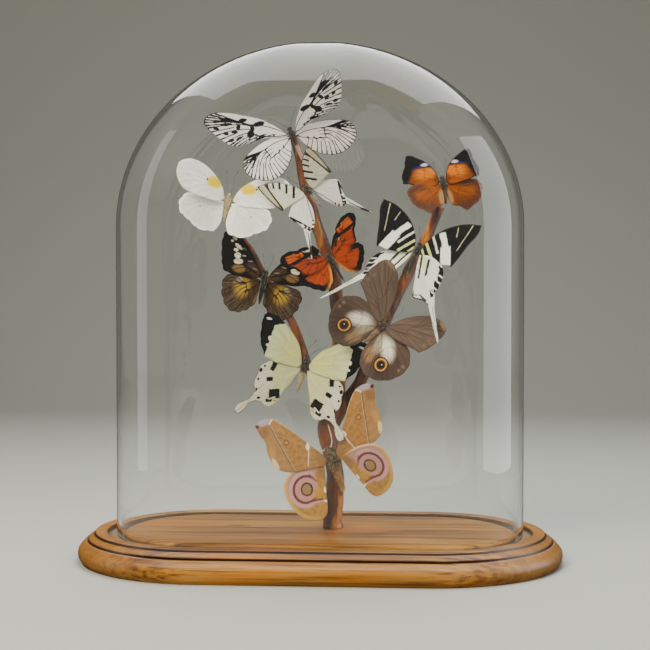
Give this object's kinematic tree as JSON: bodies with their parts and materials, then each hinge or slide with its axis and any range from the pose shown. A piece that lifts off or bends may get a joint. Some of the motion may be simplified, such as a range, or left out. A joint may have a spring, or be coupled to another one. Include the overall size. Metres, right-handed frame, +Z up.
{
  "type": "insect in glass dome",
  "caption": "Mounted butterflies and a moth on a forked branch, standing on a moulded oval wooden base under an oval glass dome.",
  "frame": {"origin": "middle of the flat underside of the base", "axes": "+Z up, +X along the base's long side, -Y towards the front, the side that the insects face"},
  "size_m": [0.358, 0.2, 0.3808],
  "materials": {
    "base_wood": "oiled satin, long grain",
    "dome_glass": "clear polished",
    "branch_wood": "bare, worn, semi-gloss",
    "tree_nymph_wings": "powdery scales over dry membrane",
    "tree_nymph_body": "dry, fine fur",
    "white_sulphur_wings": "powdery scales over dry membrane",
    "white_sulphur_body": "dry, fine fur",
    "striped_swordtail_wings": "powdery scales over dry membrane",
    "striped_swordtail_body": "dry, fine fur",
    "orange_leafwing_wings": "powdery scales over dry membrane",
    "orange_leafwing_body": "dry, fine fur",
    "brown_clipper_wings": "powdery scales over dry membrane",
    "brown_clipper_body": "dry, fine fur",
    "orange_longwing_wings": "powdery scales over dry membrane",
    "orange_longwing_body": "dry, fine fur",
    "zebra_swordtail_wings": "powdery scales over dry membrane",
    "zebra_swordtail_body": "dry, fine fur",
    "eyespot_butterfly_wings": "powdery scales over dry membrane",
    "eyespot_butterfly_body": "dry, fine fur",
    "cream_swallowtail_wings": "powdery scales over dry membrane",
    "cream_swallowtail_body": "dry, fine fur",
    "emperor_moth_wings": "powdery scales over dry membrane",
    "emperor_moth_body": "dry, fine fur"
  },
  "bodies": {
    "root": {"wooden_base": "base_wood", "glass_dome": "dome_glass", "branch_trunk": "branch_wood", "branch_left_fork": "branch_wood", "branch_right_fork": "branch_wood", "tree_nymph_body": "tree_nymph_body", "tree_nymph_left_forewing": "tree_nymph_wings", "tree_nymph_right_forewing": "tree_nymph_wings", "tree_nymph_left_hindwing": "tree_nymph_wings", "tree_nymph_right_hindwing": "tree_nymph_wings", "white_sulphur_body": "white_sulphur_body", "white_sulphur_left_forewing": "white_sulphur_wings", "white_sulphur_right_forewing": "white_sulphur_wings", "white_sulphur_left_hindwing": "white_sulphur_wings", "white_sulphur_right_hindwing": "white_sulphur_wings", "striped_swordtail_body": "striped_swordtail_body", "striped_swordtail_left_forewing": "striped_swordtail_wings", "striped_swordtail_right_forewing": "striped_swordtail_wings", "striped_swordtail_left_hindwing": "striped_swordtail_wings", "striped_swordtail_right_hindwing": "striped_swordtail_wings", "orange_leafwing_body": "orange_leafwing_body", "orange_leafwing_left_forewing": "orange_leafwing_wings", "orange_leafwing_right_forewing": "orange_leafwing_wings", "orange_leafwing_left_hindwing": "orange_leafwing_wings", "orange_leafwing_right_hindwing": "orange_leafwing_wings", "brown_clipper_body": "brown_clipper_body", "brown_clipper_left_forewing": "brown_clipper_wings", "brown_clipper_right_forewing": "brown_clipper_wings", "brown_clipper_left_hindwing": "brown_clipper_wings", "brown_clipper_right_hindwing": "brown_clipper_wings", "orange_longwing_body": "orange_longwing_body", "orange_longwing_left_forewing": "orange_longwing_wings", "orange_longwing_right_forewing": "orange_longwing_wings", "orange_longwing_left_hindwing": "orange_longwing_wings", "orange_longwing_right_hindwing": "orange_longwing_wings", "zebra_swordtail_body": "zebra_swordtail_body", "zebra_swordtail_left_forewing": "zebra_swordtail_wings", "zebra_swordtail_right_forewing": "zebra_swordtail_wings", "zebra_swordtail_left_hindwing": "zebra_swordtail_wings", "zebra_swordtail_right_hindwing": "zebra_swordtail_wings", "eyespot_butterfly_body": "eyespot_butterfly_body", "eyespot_butterfly_left_forewing": "eyespot_butterfly_wings", "eyespot_butterfly_right_forewing": "eyespot_butterfly_wings", "eyespot_butterfly_left_hindwing": "eyespot_butterfly_wings", "eyespot_butterfly_right_hindwing": "eyespot_butterfly_wings", "cream_swallowtail_body": "cream_swallowtail_body", "cream_swallowtail_left_forewing": "cream_swallowtail_wings", "cream_swallowtail_right_forewing": "cream_swallowtail_wings", "cream_swallowtail_left_hindwing": "cream_swallowtail_wings", "cream_swallowtail_right_hindwing": "cream_swallowtail_wings", "emperor_moth_body": "emperor_moth_body", "emperor_moth_left_forewing": "emperor_moth_wings", "emperor_moth_right_forewing": "emperor_moth_wings", "emperor_moth_left_hindwing": "emperor_moth_wings", "emperor_moth_right_hindwing": "emperor_moth_wings"}
  },
  "joints": []
}
